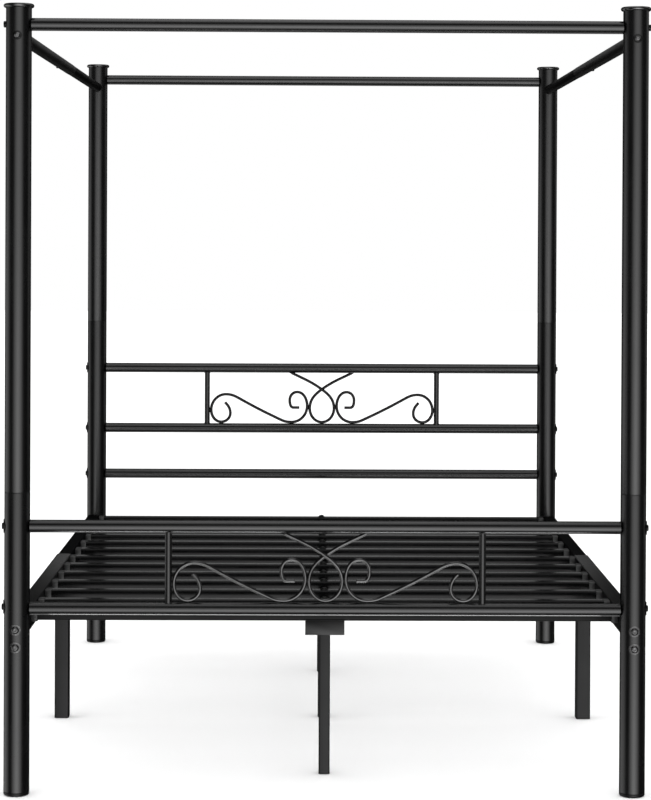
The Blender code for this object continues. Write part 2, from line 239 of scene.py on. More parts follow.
# Roughness and specular level of each coat. The bed has a single coat: the values differ only to
# give each piece its tone in the view from the foot end, under the light below.
POWDER = powder_coat("powder_coat_semi_gloss", 0.25, 0.5)
FLAT_POWDER = powder_coat("powder_coat_matt", 0.42, 0.25)
PLATE_POWDER = powder_coat("powder_coat_plates", 0.42, 0.50)
SLAT_POWDER = powder_coat("powder_coat_slats", 0.17, 0.17, FLAT_PEEL_HEIGHT)
FIRST_SLAT_POWDER = powder_coat("powder_coat_first_slat", 0.45, 0.14, FLAT_PEEL_HEIGHT)
WIRE_FINISHES = {
    "headboard": powder_coat("powder_coat_wire_head", 0.24, 0.32),
    "footboard": powder_coat("powder_coat_wire_foot", 0.16, 0.85),
}
SIDE_COATS = {
    "foot": side_rail_coat("foot", 0.70, 0.20, 0.12),
    "head": side_rail_coat("head", 0.60, 0.60, 0.05),
}
CANOPY_COATS = {
    "foot": powder_coat("powder_coat_canopy_foot", 0.34, 0.10),
    "head": powder_coat("powder_coat_canopy_head", 0.34, 0.03),
}
CAP_PLASTIC = moulded_plastic("moulded_plastic_caps", 0.08, 0.12, 1.0)
FOOT_PLASTIC = moulded_plastic("moulded_plastic_feet", 0.36, 0.46, 0.22)
SLAT_END = slat_plastic()
# The three steels below are one blackened steel in lighter and darker copies. Their base colours differ
# only to give each group of bolts and washers its tone in the view from the foot end: painted shade in
# the darkest copy, painted highlight in the two lighter ones.
STEEL = blackened_steel("blackened_steel", 0.050, 0.115)
DARK_STEEL = blackened_steel("blackened_steel_dark", 0.010, 0.024)
PAINTED_BRIGHT_STEEL = blackened_steel("blackened_steel_painted_bright", 0.09, 0.18)

# ---------------------------------------------------------------- meshes


class Shape:
    """Points and faces of one piece, gathered from lofts."""

    def __init__(self):
        self.points = []
        self.faces = []

    def ring(self, points):
        first = len(self.points)
        self.points += [tuple(point) for point in points]
        return list(range(first, len(self.points)))

    def bridge(self, one, other):
        count = len(one)
        for i in range(count):
            j = (i + 1) % count
            self.faces.append((one[i], one[j], other[j], other[i]))

    def cap(self, ring):
        self.faces.append(tuple(ring))

    def fan(self, ring, centre):
        middle = len(self.points)
        self.points.append(tuple(centre))
        for i in range(len(ring)):
            self.faces.append((ring[i], ring[(i + 1) % len(ring)], middle))

    def loft(self, rings, ends="capped"):
        """Joins rings in order. ends is capped, or loop, which joins the last to the first."""
        made = [self.ring(points) for points in rings]
        for one, other in zip(made, made[1:]):
            self.bridge(one, other)
        if ends == "loop":
            self.bridge(made[-1], made[0])
        else:
            self.cap(made[0])
            self.cap(made[-1])

    def piece(self, name, material, stands_for=(), sharp=40, place=None):
        """Makes the object, which rides on the bed's one body."""
        if place:
            self.points = [tuple(place @ Vector(point)) for point in self.points]
        mesh = bpy.data.meshes.new(name)
        mesh.from_pydata(self.points, [], self.faces)
        mesh.validate()
        obj = bpy.data.objects.new(name, mesh)
        bpy.context.scene.collection.objects.link(obj)
        turn_outwards(mesh)
        mesh.materials.append(material)
        mesh.shade_smooth()
        mesh.set_sharp_from_angle(angle=math.radians(sharp))
        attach(obj, "root")
        if stands_for:
            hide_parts(*stands_for)
        return obj


def turn_outwards(mesh):
    """Joins points that meet and turns every face outwards."""
    bm = bmesh.new()
    bm.from_mesh(mesh)
    bmesh.ops.remove_doubles(bm, verts=bm.verts, dist=SAME_POINT)
    bmesh.ops.recalc_face_normals(bm, faces=bm.faces)
    bm.to_mesh(mesh)
    bm.free()


def circle(radius, sides, level=0.0):
    return [
        (radius * math.cos(2 * math.pi * i / sides), radius * math.sin(2 * math.pi * i / sides), level)
        for i in range(sides)
    ]


def arc(centre, radius, start, end, steps=6):
    """Points of (radius, height) on an arc, for a turned profile. The angles are in degrees."""
    return [
        (
            centre[0] + radius * math.cos(math.radians(start + (end - start) * i / steps)),
            centre[1] + radius * math.sin(math.radians(start + (end - start) * i / steps)),
        )
        for i in range(steps + 1)
    ]


def turned(shape, profile, sides=TURN_SIDES, ends="loop"):
    """Revolves a profile of (radius, height) about Z. ends is loop, or fanned to points on the axis."""
    if ends == "loop":
        shape.loft([circle(radius, sides, height) for radius, height in profile], "loop")
        return
    inner = [point for point in profile if point[0] > 0]
    made = [shape.ring(circle(radius, sides, height)) for radius, height in inner]
    for one, other in zip(made, made[1:]):
        shape.bridge(one, other)
    shape.fan(made[0], (0, 0, profile[0][1]))
    shape.fan(made[-1], (0, 0, profile[-1][1]))


def rounded_rectangle(width, height, radius, steps=5):
    """An outline about the origin, counter-clockwise."""
    points = []
    for quarter, (x_sign, y_sign) in enumerate(((1, 1), (-1, 1), (-1, -1), (1, -1))):
        centre = (x_sign * (width / 2 - radius), y_sign * (height / 2 - radius))
        points += arc(centre, radius, 90 * quarter, 90 * quarter + 90, steps)
    return points


def post_gap(offset):
    """How far a tube stops short of the post's centre, this far to one side of it."""
    return math.sqrt(max(POST_RADIUS**2 - offset**2, 0)) - FIT


def tube_along(shape, outline, bore, start, end):
    """A tube. start and end turn a point of its section into a point on that end."""
    shape.loft(
        [
            [start(point) for point in outline],
            [end(point) for point in outline],
            [end(point) for point in bore],
            [start(point) for point in bore],
        ],
        "loop",
    )


def shrink(outline, amount):
    """The outline moved inwards by about this amount."""
    largest = [max(abs(point[axis]) for point in outline) for axis in (0, 1)]
    factors = [(size - amount) / size for size in largest]
    return [(point[0] * factors[0], point[1] * factors[1]) for point in outline]


def plate_stations(outline, start, end, edge):
    """The sections of a flat plate from start to end, with its edges broken by edge."""
    return [
        (shrink(outline, edge), start),
        (outline, start + edge),
        (outline, end - edge),
        (shrink(outline, edge), end),
    ]


def round_outline(radius, sides=RAIL_SIDES):
    return [(x, y) for x, y, _ in circle(radius, sides)]


# ---------------------------------------------------------------- posts


def build_posts():
    edge = 0.0009
    inner = POST_RADIUS - POST_WALL
    for end, y_sign in ENDS:
        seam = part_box(f"post_lower_{end}_left")[1].z
        for side, x_sign in SIDES:
            corner = f"{end}_{side}"
            place = Matrix.Translation((x_sign * POST_X, y_sign * POST_Y, 0))
            lower = Shape()
            profile = [(POST_RADIUS - edge, PLUG_HEIGHT), (POST_RADIUS, PLUG_HEIGHT + edge)]
            profile += arc((POST_RADIUS - edge, seam - edge), edge, 0, 90)
            profile += [(inner, seam), (inner, PLUG_HEIGHT)]
            turned(lower, profile)
            lower.piece(f"lower_post_{corner}", POWDER, stands_for=[f"post_lower_{corner}"], place=place)
            upper = Shape()
            step = seam + 0.0004
            spigot = inner - 0.0003
            spigot_foot = seam - 0.060
            profile = arc((POST_RADIUS - edge, step + edge), edge, -90, 0)
            profile += [
                (POST_RADIUS, POST_TOP),
                (inner, POST_TOP),
                (inner, step + 0.006),
                (inner - 0.0015, step),
                (inner - 0.0015, spigot_foot),
                (spigot, spigot_foot),
                (spigot, step),
            ]
            turned(upper, profile)
            upper.piece(f"upper_post_{corner}", POWDER, stands_for=[f"post_upper_{corner}"], place=place)
            build_cap(corner, place)
            build_foot_plug(corner, place)


def build_cap(corner, place):
    """A mushroom cap: a bead for a brim, a slightly domed top and a stem in the post."""
    bead = 0.0048
    middle = POST_TOP + 0.0003 + bead
    dome = POST_TOP + 0.0099
    profile = [(0, dome), (0.012, dome - 0.00005), (0.022, dome - 0.0002), (0.028, dome - 0.0003)]
    profile += arc((CAP_RADIUS - bead, middle), bead, 75, -90, 14)
    profile += [
        (POST_RADIUS - 0.0018, POST_TOP + 0.0003),
        (POST_RADIUS - 0.0026, POST_TOP - 0.022),
        (0, POST_TOP - 0.022),
    ]
    cap = Shape()
    turned(cap, profile, ends="fanned")
    cap.piece(
        f"cap_{corner}",
        CAP_PLASTIC,
        stands_for=[f"post_cap_{corner}"],
        place=place,
    )


def build_foot_plug(corner, place):
    """A glide with a rounded edge and a ribbed stem pushed up into the post."""
    edge = 0.004
    profile = [(0, 0.0), (0.012, 0.0), (POST_RADIUS - edge, 0.0)]
    profile += arc((POST_RADIUS - edge, edge), edge, -90, 0, 8)[1:]
    profile += [(POST_RADIUS, PLUG_HEIGHT - 0.0008), (POST_RADIUS - 0.0005, PLUG_HEIGHT - 0.0003)]
    for rib in range(3):
        level = PLUG_HEIGHT + 0.002 + 0.006 * rib
        profile += [
            (POST_RADIUS - 0.0026, level),
            (POST_RADIUS - 0.0018, level + 0.001),
            (POST_RADIUS - 0.0026, level + 0.002),
        ]
    profile += [(POST_RADIUS - 0.0030, PLUG_HEIGHT + 0.022), (0, PLUG_HEIGHT + 0.022)]
    plug = Shape()
    turned(plug, profile, ends="fanned")
    plug.piece(
        f"glide_{corner}",
        FOOT_PLASTIC,
        stands_for=[f"foot_plug_{corner}"],
        place=place,
    )


# ---------------------------------------------------------------- rails


def build_cross_rail(node, name):
    """A round rail between the two posts of one end, cut square and drawn up against them."""
    low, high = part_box(node)
    middle = (low + high) / 2

    def at(x_sign):
        return lambda point: (
            x_sign * (POST_X - POST_RADIUS - FIT),
            middle.y + point[0],
            middle.z + point[1],
        )

    rail = Shape()
    outline = round_outline(RAIL_RADIUS)
    bore = round_outline(RAIL_RADIUS - RAIL_WALL)
    tube_along(rail, outline, bore, at(-1), at(1))
    rail.piece(name, POWDER, stands_for=[node])


def build_cross_rails():
    for node, name in (
        ("canopy_rail_foot", "canopy_cross_rail_foot"),
        ("canopy_rail_head", "canopy_cross_rail_head"),
        ("headboard_top_rail", "headboard_rail_top"),
        ("headboard_mid_rail", "headboard_rail_mid"),
        ("headboard_low_rail", "headboard_rail_low"),
        ("footboard_top_rail", "footboard_rail_top"),
        ("footboard_low_rail", "footboard_rail_low"),
    ):
        build_cross_rail(node, name)


def build_canopy_sides():
    """Each side rail is two tubes: the head half is swaged down where it enters the foot half."""
    edge = 0.0007
    bore = RAIL_RADIUS - RAIL_WALL
    neck = bore - 0.0003
    neck_bore = neck - RAIL_WALL
    slim = RAIL_RADIUS - 0.0006
    at_post = POST_Y - POST_RADIUS - FIT
    neck_start, neck_end = CANOPY_SEAM_Y - 0.050, CANOPY_SEAM_Y + 0.0006
    for side, x_sign in SIDES:
        x = x_sign * POST_X

        def ring(radius, y):
            return [(x + across, y, CANOPY_SIDE_Z + up) for across, up in round_outline(radius)]

        foot = Shape()
        foot.loft(
            [
                ring(RAIL_RADIUS, -at_post),
                ring(RAIL_RADIUS, CANOPY_SEAM_Y - edge),
                ring(RAIL_RADIUS - 0.3 * edge, CANOPY_SEAM_Y - 0.3 * edge),
                ring(RAIL_RADIUS - edge, CANOPY_SEAM_Y),
                ring(bore, CANOPY_SEAM_Y),
                ring(bore, -at_post),
            ],
            "loop",
        )
        foot.piece(
            f"canopy_side_tube_foot_{side}",
            CANOPY_COATS["foot"],
            stands_for=[f"canopy_side_foot_{side}"],
        )
        head = Shape()
        head.loft(
            [
                ring(neck, neck_start),
                ring(neck, neck_end),
                ring(slim - 0.0007, CANOPY_SEAM_Y + 0.0022),
                ring(slim - 0.0002, CANOPY_SEAM_Y + 0.0050),
                ring(slim, CANOPY_SEAM_Y + 0.0080),
                ring(slim, at_post),
                ring(bore, at_post),
                ring(bore, CANOPY_SEAM_Y + 0.0090),
                ring(neck_bore, neck_end),
                ring(neck_bore, neck_start),
            ],
            "loop",
        )
        head.piece(
            f"canopy_side_tube_head_{side}",
            CANOPY_COATS["head"],
            stands_for=[f"canopy_side_head_{side}"],
        )


# ---------------------------------------------------------------- panels


def bezier_line(points):
    """A smooth line through points of (place, heading in degrees), as places along it."""
    line = []
    for (start, start_heading), (end, end_heading) in zip(points, points[1:]):
        reach = ARC_HANDLE * (end - start).length
        headings = [
            Vector((math.cos(math.radians(angle)), 0, math.sin(math.radians(angle))))
            for angle in (start_heading, end_heading)
        ]
        first, last = start + headings[0] * reach, end - headings[1] * reach
        for i in range(WIRE_STEPS):
            t = i / WIRE_STEPS
            line.append(
                start * (1 - t) ** 3
                + first * 3 * t * (1 - t) ** 2
                + last * 3 * t**2 * (1 - t)
                + end * t**3
            )
    line.append(points[-1][0])
    return line


def sweep_wire(shape, line, radius=WIRE_RADIUS, sides=20):
    """A round wire along the line, with its cut ends slightly rounded."""
    edge = 0.0008
    across = Vector((0, 1, 0))
    rings = []
    last = len(line) - 1
    for i, spot in enumerate(line):
        ahead = (line[min(i + 1, last)] - line[max(i - 1, 0)]).normalized()
        up = across.cross(ahead).normalized()
        over = ahead.cross(up).normalized()

        def ring(size, shift):
            return [
                spot + ahead * shift + up * (size * math.cos(a)) + over * (size * math.sin(a))
                for a in (2 * math.pi * k / sides for k in range(sides))
            ]

        if i == 0:
            rings += [ring(radius - edge, 0), ring(radius - 0.3 * edge, 0.3 * edge)]
            rings.append(ring(radius, edge))
        elif i == last:
            rings.append(ring(radius, -edge))
            rings += [ring(radius - 0.3 * edge, -0.3 * edge), ring(radius - edge, 0)]
        else:
            rings.append(ring(radius, 0))
    shape.loft(rings)


def weld_blob(shape, spot, size):
    """A small rippled bead of weld metal about a contact."""
    sides, rows = 20, 10
    rings = []
    for row in range(1, rows):
        tilt = math.pi * row / rows - math.pi / 2
        points = []
        for i in range(sides):
            turn = 2 * math.pi * i / sides
            way = Vector(
                (math.cos(tilt) * math.cos(turn), math.cos(tilt) * math.sin(turn), math.sin(tilt))
            )
            lump = 1 + 0.16 * noise.noise((spot + way * 0.004) * 600)
            points.append(spot + Vector([way[k] * size[k] * lump for k in range(3)]))
        rings.append(points)
    made = [shape.ring(points) for points in rings]
    for one, other in zip(made, made[1:]):
        shape.bridge(one, other)
    shape.fan(made[0], spot - Vector((0, 0, size[2])))
    shape.fan(made[-1], spot + Vector((0, 0, size[2])))


def weld_collar(shape, x, y, rail_z, side):
    """The fillet round an upright where it meets a rail. side is +1 above the rail and -1 below it."""
    steps, sides = 72, 10
    rings = []
    for i in range(steps):
        turn = 2 * math.pi * i / steps
        away = Vector((math.cos(turn), math.sin(turn), 0))
        level = math.sqrt(RAIL_RADIUS**2 - (UPRIGHT_RADIUS * math.sin(turn)) ** 2)
        spot = Vector((x, y, rail_z + side * level)) + away * UPRIGHT_RADIUS
        size = 0.00135 * (1 + 0.14 * math.sin(18 * turn) + 0.1 * noise.noise(spot * 500))
        rings.append(
            [
                spot
                + away * (size * math.cos(2 * math.pi * k / sides))
                + Vector((0, 0, size * math.sin(2 * math.pi * k / sides)))
                for k in range(sides)
            ]
        )
    shape.loft(rings, "loop")


def build_panel(board, low_rail, top_rail):
    """Uprights, scrolls, ribbon and welds between two rails."""
    rail = (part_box(low_rail)[0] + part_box(low_rail)[1]) / 2
    top = (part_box(top_rail)[0].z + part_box(top_rail)[1].z) / 2
    y, z = rail.y, rail.z
    welds = Shape()
    for side, x_sign in SIDES:
        x = x_sign * UPRIGHT_X

        def end_at(level, sign):
            return lambda point: (
                x + point[0],
                y + point[1],
                level + sign * (math.sqrt(RAIL_RADIUS**2 - point[1] ** 2) - FIT),
            )

        upright = Shape()
        tube_along(
            upright,
            round_outline(UPRIGHT_RADIUS, 40),
            round_outline(UPRIGHT_RADIUS - 0.001, 40),
            end_at(z, 1),
            end_at(top, -1),
        )
        upright.piece(f"{board}_stile_{side}", POWDER, stands_for=[f"{board}_upright_{side}"])
        weld_collar(welds, x, y, z, 1)
        weld_collar(welds, x, y, top, -1)

        scroll = Shape()
        places = [
            (Vector((-x_sign * along, y, z + above)), heading if x_sign < 0 else 180 - heading)
            for along, above, heading in SCROLL
        ]
        sweep_wire(scroll, bezier_line(places))
        scroll.piece(
            f"{board}_scroll_wire_{side}",
            WIRE_FINISHES[board],
            stands_for=[f"{board}_scroll_{side}"],
        )
        for along, above, size in SCROLL_WELDS:
            weld_blob(welds, Vector((x_sign * along, y, z + above)), size)
        under_rail = top - RAIL_RADIUS - 0.0003
        ribbon_end = Vector((x_sign * 0.0970, y + x_sign * RIBBON_STEP, under_rail))
        weld_blob(welds, ribbon_end, (0.0070, 0.0042, 0.0016))
    ribbon = Shape()
    places = [
        (Vector((along, y + aside, z + above)), heading) for along, aside, above, heading in RIBBON
    ]
    sweep_wire(ribbon, bezier_line(places))
    ribbon.piece(f"{board}_ribbon_wire", WIRE_FINISHES[board], stands_for=[f"{board}_ribbon"])
    for above, size in RIBBON_WELDS:
        weld_blob(welds, Vector((0, y, z + above)), size)
    welds.piece(f"{board}_welds", POWDER, sharp=60)


# ---------------------------------------------------------------- the base


SIDE_RAIL_HEIGHTS = {"foot": 0.051, "head": 0.048}


def build_side_rails():
    for side, x_sign in SIDES:
        for end, y_sign in ENDS:
            node = f"side_rail_{end}_{side}"
            low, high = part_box(node)
            top = high.z
            centre_x = (low.x + high.x) / 2
            width = high.x - low.x
            height = SIDE_RAIL_HEIGHTS[end]
            centre_z = top - height / 2
            inner_y = high.y if end == "foot" else low.y
            outline = rounded_rectangle(width, height, TUBE_ROUND)
            bore = shrink(outline, 0.0012)

            def at_post(point):
                offset = centre_x + point[0] - x_sign * POST_X
                return (centre_x + point[0], y_sign * (POST_Y - post_gap(offset)), centre_z + point[1])

            def ring(points, y):
                return [(centre_x + px, y, centre_z + pz) for px, pz in points]

            tube = Shape()
            lip = 0.0008
            tube.loft(
                [
                    [at_post(point) for point in outline],
                    ring(outline, inner_y + y_sign * lip),
                    ring(shrink(outline, 0.3 * lip), inner_y + y_sign * 0.3 * lip),
                    ring(shrink(outline, lip), inner_y),
                    ring(bore, inner_y),
                    [at_post(point) for point in bore],
                ],
                "loop",
            )
            tube.piece(f"side_rail_tube_{end}_{side}", SIDE_COATS[end], stands_for=[node])
            build_saddle(end, side, low, width, centre_x, centre_z - height / 2)


def build_saddle(end, side, low, width, centre_x, rail_bottom):
    """The plate that hangs from the rail's end against the post, under the rail."""
    y_sign = dict(ENDS)[end]
    x_sign = dict(SIDES)[side]
    plate = Shape()
    outline = rounded_rectangle(width - 0.001, 0.036, 0.002)
    rows = [(low.z, 0.0010), (low.z + 0.0010, 0), (rail_bottom + 0.0005, 0)]
    rings = []
    for level, inset in rows:
        ring = []
        for px, py in shrink(outline, inset) if inset else outline:
            offset = centre_x + px - x_sign * POST_X
            # Local +py runs from the post's centre towards the middle of the bed.
            reach = max(py + 0.018, post_gap(offset))
            ring.append((centre_x + px, y_sign * (POST_Y - reach), level))
        rings.append(ring)
    plate.loft(rings)
    plate.piece(f"saddle_{end}_{side}", POWDER)


SLAT_TUBE_END = 0.6905
SLAT_COLLAR_START = 0.6900  # the collar laps over the tube's end


def build_slats():
    for number in range(1, 14):
        node = f"slat_{number:02d}"
        low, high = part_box(node)
        middle_y = (low.y + high.y) / 2
        depth, height = high.y - low.y, high.z - low.z
        middle_z = (low.z + high.z) / 2
        outline = rounded_rectangle(depth, height, TUBE_ROUND)
        bore = shrink(outline, 0.001)

        def at(x):
            return lambda point: (x, middle_y + point[0], middle_z + point[1])

        tube = Shape()
        tube_along(tube, outline, bore, at(-SLAT_TUBE_END), at(SLAT_TUBE_END))
        coat = SLAT_POWDER if number > 1 else FIRST_SLAT_POWDER
        tube.piece(f"slat_tube_{number:02d}", coat, stands_for=[node])
        for side, x_sign in SIDES:
            build_slat_end(number, side, x_sign, middle_y, middle_z, high.x)
        build_slat_screw(number, middle_y, high.z)


def build_slat_end(number, side, x_sign, y, z, outer):
    """A moulded end: a collar a little larger than the tube, and a ribbed tongue inside it."""
    collar = rounded_rectangle(0.0380, 0.0300, 0.0045)
    tongue = rounded_rectangle(0.0330, 0.0225, 0.0025)
    drop = 0.0013  # of the end's middle below the tube's
    tongue_length = 0.022
    inner = SLAT_COLLAR_START
    edge = 0.0016
    stations = [
        (shrink(collar, edge), outer),
        (shrink(collar, 0.3 * edge), outer - 0.3 * edge),
        (collar, outer - edge),
        (collar, inner + edge),
        (shrink(collar, 0.3 * edge), inner + 0.3 * edge),
        (shrink(collar, edge), inner),
        (tongue, inner - FIT),
        (tongue, inner - tongue_length),
    ]
    end = Shape()
    end.loft([[(x_sign * x, y + py, z - drop + pz) for py, pz in points] for points, x in stations])
    end.piece(f"slat_end_{number:02d}_{side}", SLAT_END)


# ---------------------------------------------------------------- beam and legs


def build_beam():
    low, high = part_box("centre_beam")
    width, height, wall = 0.031, 0.030, 0.0015
    top = high.z
    plate_width, plate_depth = 0.0945, 0.004

    def channel_ring(y):
        """The section of a channel that is open below, with rounded upper corners."""
        points = []
        for inset in (0, wall):
            half, crown, radius = width / 2 - inset, top - inset, 0.003 - inset
            run = [(half, top - height)]
            run += arc((half - radius, crown - radius), radius, 0, 90, 5)
            run += [(-x, z) for x, z in reversed(run)]
            points += list(reversed(run)) if inset else run
        return [(x, y, z) for x, z in points]

    beam = Shape()
    beam.loft([channel_ring(low.y), channel_ring(high.y)])
    beam.piece("beam_channel", FLAT_POWDER, stands_for=["centre_beam"])
    # The end plates reach up over the outer faces of the first and the last slat.
    plate_top, plate_bottom = SLAT_BOTTOM + 0.0022, SLAT_BOTTOM - 0.0332
    gap = 0.0004
    for end, y in (("foot", low.y - gap - plate_depth), ("head", high.y + gap)):
        plate = Shape()
        outline = rounded_rectangle(plate_width, plate_top - plate_bottom, 0.0010)
        middle = (plate_top + plate_bottom) / 2
        stations = plate_stations(outline, y, y + plate_depth, 0.0003)
        plate.loft([[(px, level, middle + pz) for px, pz in points] for points, level in stations])
        plate.piece(f"beam_plate_{end}", PLATE_POWDER)


SIDE_LEG_WIDTH = 0.038
CENTRE_LEG_WIDTH = 0.027
SIDE_LEG_X = 0.705
FLANGE_DEPTH = 0.003


def build_leg(node, name, flange=None):
    """A square tube on a plastic shoe. flange is the tube's own X where a flange tops it."""
    low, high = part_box(node)
    width = SIDE_LEG_WIDTH if flange else CENTRE_LEG_WIDTH
    centre_x = flange if flange else (low.x + high.x) / 2
    centre_y = (low.y + high.y) / 2
    outline = rounded_rectangle(width, width, TUBE_ROUND)
    bore = shrink(outline, 0.0015)
    shoe, shoe_tongue = 0.006, 0.018

    def ring(points, level):
        return [(centre_x + px, centre_y + py, level) for px, py in points]

    top = high.z - (FLANGE_DEPTH if flange else 0)
    tube = Shape()
    tube.loft([ring(outline, shoe), ring(outline, top), ring(bore, top), ring(bore, shoe)], "loop")
    tube.piece(f"{name}_tube", FLAT_POWDER, stands_for=[node])
    cap = Shape()
    cap.loft(
        [
            ring(shrink(outline, 0.0015), 0),
            ring(shrink(outline, 0.0004), 0.0005),
            ring(outline, 0.0018),
            ring(outline, shoe - 0.0006),
            ring(shrink(outline, 0.0004), shoe - FIT),
            ring(shrink(outline, 0.0018), shoe - FIT),
            ring(shrink(outline, 0.0022), shoe + shoe_tongue),
        ]
    )
    cap.piece(f"{name}_shoe", FOOT_PLASTIC)
    if flange:
        plate = Shape()
        size = (high.x - low.x, high.y - low.y)
        outline = rounded_rectangle(size[0], size[1], 0.004)
        middle_x = (low.x + high.x) / 2
        stations = plate_stations(outline, high.z - FLANGE_DEPTH, high.z, 0.0006)
        plate.loft(
            [
                [(middle_x + px, centre_y + py, level) for px, py in points]
                for points, level in stations
            ]
        )
        plate.piece(f"{name}_flange", FLAT_POWDER)


def build_legs():
    for side, x_sign in SIDES:
        build_leg(f"side_leg_{side}", f"side_leg_{side}", flange=x_sign * SIDE_LEG_X)
    for number in (1, 2, 3):
        build_leg(f"centre_leg_{number}", f"centre_leg_{number}")


# ---------------------------------------------------------------- fasteners


def facing(direction, spot):
    """A frame at spot whose +Z points along direction and whose X stays level."""
    forward = Vector(direction).normalized()
    across = Vector((0, 0, 1)).cross(forward)
    across = across.normalized() if across.length > 0.01 else Vector((1, 0, 0))
    up = forward.cross(across)
    turn = Matrix((across, up, forward)).transposed().to_4x4()
    return Matrix.Translation(spot) @ turn


def hex_radius(angle, flat):
    """How far a hexagon reaches at this angle. flat is half its width across flats."""
    return flat / math.cos((angle + math.pi / 6) % (math.pi / 3) - math.pi / 6)


def bolt_head(shape, radius, height, socket, crown=0.0030, sink=0.0012):
    """A head with a hexagon socket. It stands on z 0 and sinks below it, and crown rounds its edge."""
    sides = 48
    fall = min(crown, height - 0.0008)
    profile = (
        (radius - 0.0004, -sink),
        (radius, 0.0004 - sink),
        (radius, height - fall),
        (radius - 0.12 * crown, height - 0.76 * fall),
        (radius - 0.92 * crown, height - 0.06 * fall),
        (radius - crown, height),
    )
    made = [shape.ring(circle(reach, sides, level)) for reach, level in profile]
    lip, socket_depth, tip_depth = 0.0004, 0.0022, 0.0027
    for level, grow in ((height, lip), (height - lip, 0.0), (height - socket_depth, 0.0)):
        hexagon = []
        for i in range(sides):
            angle = 2 * math.pi * i / sides
            reach = hex_radius(angle, socket) + grow
            hexagon.append((reach * math.cos(angle), reach * math.sin(angle), level))
        made.append(shape.ring(hexagon))
    for one, other in zip(made, made[1:]):
        shape.bridge(one, other)
    shape.cap(made[0])
    shape.fan(made[-1], (0, 0, height - tip_depth))


def saddle_washer(shape, radius, thickness, hole=0.0045):
    """A round washer bent to lie on a post. Its Z points away from the post and its Y along it."""
    sides, rows = 72, 10
    clear, edge = 0.00005, 0.0004

    def bent(reach, lift):
        """A ring of this radius, wrapped round the post at this height above its skin."""
        ring = []
        for i in range(sides):
            a = 2 * math.pi * i / sides
            bend = reach * math.cos(a) / POST_RADIUS
            out = POST_RADIUS + lift
            across, away = out * math.sin(bend), out * math.cos(bend) - POST_RADIUS
            ring.append((across, reach * math.sin(a), away))
        return ring

    def sheet(lift):
        reaches = [hole + (radius - edge - hole) * row / rows for row in range(rows + 1)]
        return [bent(reach, lift) for reach in reaches]

    rim = [bent(radius, edge), bent(radius, thickness - edge)]
    shape.loft(sheet(clear) + rim + list(reversed(sheet(thickness))), "loop")


# Each bolt's head as (radius, height, half the socket across its flats, rounding of the edge) and
# its steel, then its washer as (radius, thickness) and its steel.
# The steels named here are lit and shaded copies of one steel: their brightness is painted highlight and
# painted shade.
CANOPY_END_BOLT = ((0.0075, 0.0052, 0.0026, 0.0010), DARK_STEEL, None, None)
CANOPY_SIDE_BOLT = ((0.0070, 0.0038, 0.0020, 0.0030), PAINTED_BRIGHT_STEEL, (0.0104, 0.0013), DARK_STEEL)
CROSS_RAIL_BOLT = ((0.0075, 0.0033, 0.0026, 0.0009), DARK_STEEL, (0.0160, 0.0020), DARK_STEEL)
SIDE_RAIL_BOLT = ((0.0088, 0.0034, 0.0034, 0.0032), STEEL, (0.0132, 0.0018), STEEL)

# The bolts of each post with their heights above the floor: on its outer side, then on its end face.
OUTER_BOLTS = {
    "foot": (
        ("canopy", 1.797, CANOPY_END_BOLT),
        ("top_rail", 0.6272, CROSS_RAIL_BOLT),
        ("low_rail", 0.4385, CROSS_RAIL_BOLT),
    ),
    "head": (
        ("canopy", 1.797, CANOPY_END_BOLT),
        ("top_rail", 0.8773, CROSS_RAIL_BOLT),
        ("mid_rail", 0.6851, CROSS_RAIL_BOLT),
        ("low_rail", 0.5387, CROSS_RAIL_BOLT),
    ),
}
FACE_BOLTS = (
    ("canopy_side", 1.7697, CANOPY_SIDE_BOLT),
    ("side_rail_upper", 0.389, SIDE_RAIL_BOLT),
    ("side_rail_lower", 0.348, SIDE_RAIL_BOLT),
)


def build_bolt(name, spot, direction, kind):
    """A bolt against a post, on a bent washer if its kind has one."""
    head, steel, washer, washer_steel = kind
    place = facing(direction, spot)
    lift = 0.0
    if washer:
        ring = Shape()
        saddle_washer(ring, *washer)
        ring.piece(f"washer_{name}", washer_steel, place=place)
        lift = washer[1]
    bolt = Shape()
    bolt_head(bolt, *head)
    bolt.piece(f"bolt_{name}", steel, place=place @ Matrix.Translation((0, 0, lift)))


def build_post_bolts():
    for end, y_sign in ENDS:
        for side, x_sign in SIDES:
            for label, z, kind in OUTER_BOLTS[end]:
                spot = Vector((x_sign * (POST_X + POST_RADIUS), y_sign * POST_Y, z))
                build_bolt(f"{label}_{end}_{side}", spot, (x_sign, 0, 0), kind)
            for label, z, kind in FACE_BOLTS:
                spot = Vector((x_sign * POST_X, y_sign * (POST_Y + POST_RADIUS), z))
                build_bolt(f"{label}_{end}_{side}", spot, (0, y_sign, 0), kind)


def build_slat_screw(number, y, top):
    """A low dome with a flange, screwed through the slat into the beam."""
    dome = [(0, 0.0066), (0.0020, 0.0065), (0.0045, 0.0060), (0.0066, 0.0049), (0.0078, 0.0034)]
    flange = [(0.0082, 0.0020), (0.0098, 0.0016), (0.0105, 0.0010), (0.0105, 0.0002)]
    seat = [(0.0100, -0.0002), (0, -0.0002)]
    screw = Shape()
    turned(screw, dome + flange + seat, 48, ends="fanned")
    screw.piece(f"slat_screw_{number:02d}", FLAT_POWDER, place=Matrix.Translation((0, y, top)))


# Heads of the small screws: radius, height, half the socket, rounding and how far they are let in.
CANOPY_SCREW = (0.0048, 0.0038, 0.0018, 0.0012, 0.0010)
CANOPY_SCREW_Y = -0.1675
JOINT_SCREW = (0.0070, 0.0036, 0.0024, 0.0020, 0.0004)
JOINT_SCREW_Y = 0.1300
LEG_SCREW = (0.0045, 0.0034, 0.0016, 0.0014, 0.0004)
LEG_SCREW_X = 0.7350
LEG_SCREWS_Y = (-0.1655, -0.1195)
DOWN = (0, 0, -1)


def build_small_screw(name, head, steel, direction, spot):
    screw = Shape()
    bolt_head(screw, *head)
    screw.piece(name, steel, place=facing(direction, Vector(spot)))


